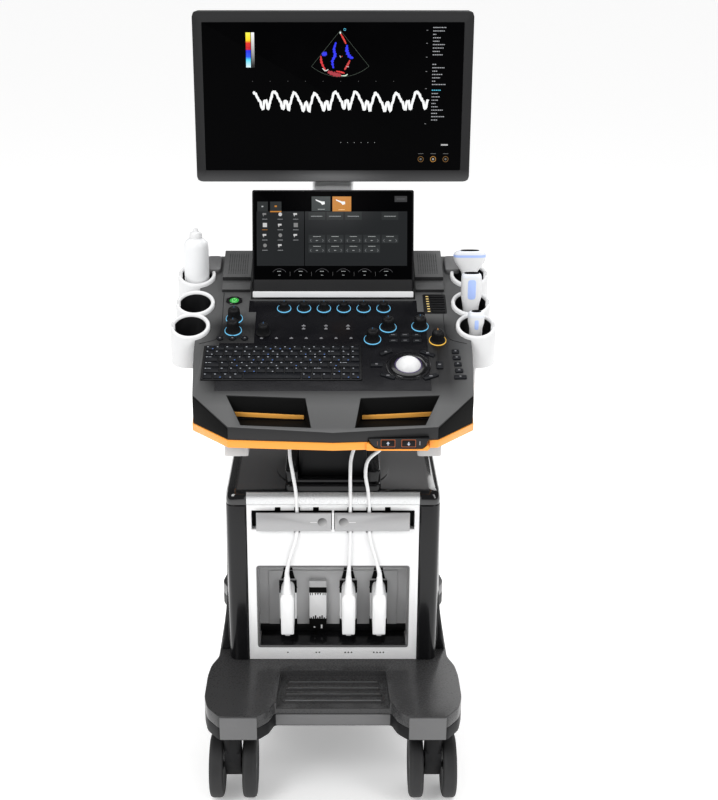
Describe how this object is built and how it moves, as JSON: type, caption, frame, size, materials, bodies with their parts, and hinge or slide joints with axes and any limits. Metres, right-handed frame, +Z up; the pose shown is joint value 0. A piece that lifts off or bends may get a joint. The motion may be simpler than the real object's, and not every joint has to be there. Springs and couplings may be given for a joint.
{
  "type": "ultrasound machine",
  "caption": "Cart-type ultrasound scanner with a lifting console, tilting touch screen, swivelling monitor, probe holders and castors.",
  "frame": {"origin": "on the floor, under the middle of the machine's outline", "axes": "+Z up, the operator's side facing -Y, +X to the operator's right"},
  "size_m": [0.6, 0.707, 1.4625],
  "materials": {
    "dark_grey_plastic": "satin",
    "black_gloss": "gloss",
    "black_glass": "mirror-smooth black glass",
    "mid_grey_plastic": "satin",
    "silver_paint": "silver-white paint",
    "white_plastic": "satin",
    "orange_paint": "satin orange",
    "green_plastic": "lit green",
    "tyre_rubber": "matte",
    "steel": "zinc grey",
    "cable_jacket": "satin jacket"
  },
  "bodies": {
    "cabinet": {"base_frame": "steel", "base_cover": "black_gloss", "cabinet_frame": "steel", "left_side_cover": "black_gloss", "right_side_cover": "black_gloss", "rear_cover": "dark_grey_plastic", "top_cover": "dark_grey_plastic", "front_panel": "silver_paint", "connector_bay": "dark_grey_plastic", "socket_board": "steel", "column_sleeve": "black_gloss"},
    "castor_front_left": {"castor_fork_front_left": "black_gloss"},
    "wheels_front_left": {"castor_wheels_front_left": "tyre_rubber"},
    "castor_front_right": {"castor_fork_front_right": "black_gloss"},
    "wheels_front_right": {"castor_wheels_front_right": "tyre_rubber"},
    "castor_rear_left": {"castor_fork_rear_left": "black_gloss"},
    "wheels_rear_left": {"castor_wheels_rear_left": "tyre_rubber"},
    "castor_rear_right": {"castor_fork_rear_right": "black_gloss"},
    "wheels_rear_right": {"castor_wheels_rear_right": "tyre_rubber"},
    "column": {"lift_column": "black_gloss"},
    "console": {"console_tray": "dark_grey_plastic", "console_cover": "dark_grey_plastic", "orange_trim": "orange_paint", "switch_pod": "black_gloss", "control_glass": "black_glass", "keyboard": "black_gloss", "cup_holder_left": "white_plastic", "cup_holder_right": "white_plastic", "probe_cable_1": "cable_jacket", "probe_cable_2": "cable_jacket", "probe_cable_3": "cable_jacket"},
    "cable_bar_left": {"cable_bar_left": "mid_grey_plastic"},
    "cable_bar_right": {"cable_bar_right": "mid_grey_plastic"},
    "plug_1": {"probe_plug_1": "white_plastic"},
    "plug_2": {"probe_plug_2": "white_plastic"},
    "plug_3": {"probe_plug_3": "white_plastic"},
    "soft_knob_1": {"soft_knob_1": "black_gloss"},
    "soft_knob_2": {"soft_knob_2": "black_gloss"},
    "soft_knob_3": {"soft_knob_3": "black_gloss"},
    "soft_knob_4": {"soft_knob_4": "black_gloss"},
    "soft_knob_5": {"soft_knob_5": "black_gloss"},
    "soft_knob_6": {"soft_knob_6": "black_gloss"},
    "left_knob_rear": {"left_knob_rear": "black_gloss"},
    "left_knob_front": {"left_knob_front": "black_gloss"},
    "mode_knob": {"mode_knob": "black_gloss"},
    "gain_knob_inner": {"gain_knob_inner": "black_gloss"},
    "gain_knob_low": {"gain_knob_low": "black_gloss"},
    "gain_knob_outer": {"gain_knob_outer": "black_gloss"},
    "freeze_knob": {"freeze_knob": "black_gloss"},
    "trackball": {"trackball": "white_plastic"},
    "power_button": {"power_button": "green_plastic"},
    "lift_up_button": {"lift_up_button": "black_gloss"},
    "lift_down_button": {"lift_down_button": "black_gloss"},
    "touch": {"touch_screen": "black_gloss"},
    "neck": {"monitor_neck": "silver_paint"},
    "monitor": {"monitor": "black_gloss"},
    "probe_1": {"probe_1": "white_plastic"},
    "probe_2": {"probe_2": "white_plastic"},
    "probe_3": {"probe_3": "white_plastic"},
    "bottle": {"gel_bottle": "white_plastic"}
  },
  "joints": [
    {"name": "castor_swivel_front_left", "type": "hinge", "parent": "cabinet", "child": "castor_front_left", "pos_m": [-0.193, -0.247, 0.164], "axis": [0, 0, 1], "continuous": true},
    {"name": "castor_roll_front_left", "type": "hinge", "parent": "castor_front_left", "child": "wheels_front_left", "pos_m": [-0.193, -0.225, 0.0625], "axis": [1, 0, 0], "continuous": true},
    {"name": "castor_swivel_front_right", "type": "hinge", "parent": "cabinet", "child": "castor_front_right", "pos_m": [0.193, -0.247, 0.164], "axis": [0, 0, 1], "continuous": true},
    {"name": "castor_roll_front_right", "type": "hinge", "parent": "castor_front_right", "child": "wheels_front_right", "pos_m": [0.193, -0.225, 0.0625], "axis": [1, 0, 0], "continuous": true},
    {"name": "castor_swivel_rear_left", "type": "hinge", "parent": "cabinet", "child": "castor_rear_left", "pos_m": [-0.193, 0.269, 0.164], "axis": [0, 0, 1], "continuous": true},
    {"name": "castor_roll_rear_left", "type": "hinge", "parent": "castor_rear_left", "child": "wheels_rear_left", "pos_m": [-0.193, 0.291, 0.0625], "axis": [1, 0, 0], "continuous": true},
    {"name": "castor_swivel_rear_right", "type": "hinge", "parent": "cabinet", "child": "castor_rear_right", "pos_m": [0.193, 0.269, 0.164], "axis": [0, 0, 1], "continuous": true},
    {"name": "castor_roll_rear_right", "type": "hinge", "parent": "castor_rear_right", "child": "wheels_rear_right", "pos_m": [0.193, 0.291, 0.0625], "axis": [1, 0, 0], "continuous": true},
    {"name": "column_lift", "type": "slide", "parent": "cabinet", "child": "column", "axis": [0, 0, 1], "range_m": [0, 0.18], "deforming": ["probe_cable_1", "probe_cable_2", "probe_cable_3"]},
    {"name": "console_swivel", "type": "hinge", "parent": "column", "child": "console", "pos_m": [0, 0.008, 0.741], "axis": [0, 0, 1], "range_deg": [-20, 20]},
    {"name": "cable_bar_left_slide", "type": "slide", "parent": "cabinet", "child": "cable_bar_left", "axis": [-1, 0, 0], "range_m": [0, 0.009]},
    {"name": "cable_bar_right_slide", "type": "slide", "parent": "cabinet", "child": "cable_bar_right", "axis": [1, 0, 0], "range_m": [0, 0.009]},
    {"name": "plug_1_pull", "type": "slide", "parent": "cabinet", "child": "plug_1", "axis": [0, -1, 0], "range_m": [0, 0.025]},
    {"name": "plug_2_pull", "type": "slide", "parent": "cabinet", "child": "plug_2", "axis": [0, -1, 0], "range_m": [0, 0.025]},
    {"name": "plug_3_pull", "type": "slide", "parent": "cabinet", "child": "plug_3", "axis": [0, -1, 0], "range_m": [0, 0.025]},
    {"name": "soft_knob_1_turn", "type": "hinge", "parent": "console", "child": "soft_knob_1", "pos_m": [-0.092, -0.01987, 0.93004], "axis": [0, -0.342, 0.9397], "continuous": true},
    {"name": "soft_knob_2_turn", "type": "hinge", "parent": "console", "child": "soft_knob_2", "pos_m": [-0.0546, -0.01987, 0.93004], "axis": [0, -0.342, 0.9397], "continuous": true},
    {"name": "soft_knob_3_turn", "type": "hinge", "parent": "console", "child": "soft_knob_3", "pos_m": [-0.0172, -0.01987, 0.93004], "axis": [0, -0.342, 0.9397], "continuous": true},
    {"name": "soft_knob_4_turn", "type": "hinge", "parent": "console", "child": "soft_knob_4", "pos_m": [0.0202, -0.01987, 0.93004], "axis": [0, -0.342, 0.9397], "continuous": true},
    {"name": "soft_knob_5_turn", "type": "hinge", "parent": "console", "child": "soft_knob_5", "pos_m": [0.0576, -0.01987, 0.93004], "axis": [0, -0.342, 0.9397], "continuous": true},
    {"name": "soft_knob_6_turn", "type": "hinge", "parent": "console", "child": "soft_knob_6", "pos_m": [0.095, -0.01987, 0.93004], "axis": [0, -0.342, 0.9397], "continuous": true},
    {"name": "left_knob_rear_turn", "type": "hinge", "parent": "console", "child": "left_knob_rear", "pos_m": [-0.184, -0.04994, 0.91909], "axis": [0, -0.342, 0.9397], "continuous": true},
    {"name": "left_knob_front_turn", "type": "hinge", "parent": "console", "child": "left_knob_front", "pos_m": [-0.184, -0.08471, 0.90644], "axis": [0, -0.342, 0.9397], "continuous": true},
    {"name": "mode_knob_turn", "type": "hinge", "parent": "console", "child": "mode_knob", "pos_m": [-0.128, -0.09128, 0.90404], "axis": [0, -0.342, 0.9397], "continuous": true},
    {"name": "gain_knob_inner_turn", "type": "hinge", "parent": "console", "child": "gain_knob_inner", "pos_m": [0.1017, -0.07531, 0.90986], "axis": [0, -0.342, 0.9397], "continuous": true},
    {"name": "gain_knob_low_turn", "type": "hinge", "parent": "console", "child": "gain_knob_low", "pos_m": [0.0722, -0.10961, 0.89738], "axis": [0, -0.342, 0.9397], "continuous": true},
    {"name": "gain_knob_outer_turn", "type": "hinge", "parent": "console", "child": "gain_knob_outer", "pos_m": [0.161, -0.07249, 0.91089], "axis": [0, -0.342, 0.9397], "continuous": true},
    {"name": "freeze_knob_turn", "type": "hinge", "parent": "console", "child": "freeze_knob", "pos_m": [0.1911, -0.11243, 0.89635], "axis": [0, -0.342, 0.9397], "continuous": true},
    {"name": "trackball_roll", "type": "hinge", "parent": "console", "child": "trackball", "pos_m": [0.1346, -0.17941, 0.86345], "axis": [1, 0, 0], "continuous": true},
    {"name": "power_button_press", "type": "slide", "parent": "console", "child": "power_button", "axis": [0, 0.342, -0.9397], "range_m": [0, 0.0015], "stiffness_N_per_m": 400, "springref_m": -0.001},
    {"name": "lift_up_press", "type": "slide", "parent": "console", "child": "lift_up_button", "axis": [0, 1, 0], "range_m": [0, 0.0015], "stiffness_N_per_m": 400, "springref_m": -0.001},
    {"name": "lift_down_press", "type": "slide", "parent": "console", "child": "lift_down_button", "axis": [0, 1, 0], "range_m": [0, 0.0015], "stiffness_N_per_m": 400, "springref_m": -0.001},
    {"name": "touch_tilt", "type": "hinge", "parent": "console", "child": "touch", "pos_m": [0, 0.036, 0.954], "axis": [-1, 0, 0], "range_deg": [-10, 20]},
    {"name": "monitor_swivel", "type": "hinge", "parent": "console", "child": "neck", "pos_m": [0, 0.172, 1], "axis": [0, 0, 1], "range_deg": [-45, 45]},
    {"name": "monitor_tilt", "type": "hinge", "parent": "neck", "child": "monitor", "pos_m": [0, 0.158, 1.305], "axis": [-1, 0, 0], "range_deg": [-8, 18]},
    {"name": "probe_1_lift", "type": "slide", "parent": "console", "child": "probe_1", "axis": [0, 0, 1], "range_m": [0, 0.1]},
    {"name": "probe_2_lift", "type": "slide", "parent": "console", "child": "probe_2", "axis": [0, 0, 1], "range_m": [0, 0.1]},
    {"name": "probe_3_lift", "type": "slide", "parent": "console", "child": "probe_3", "axis": [0, 0, 1], "range_m": [0, 0.1]},
    {"name": "bottle_lift", "type": "slide", "parent": "console", "child": "bottle", "axis": [0, 0, 1], "range_m": [0, 0.1]}
  ]
}
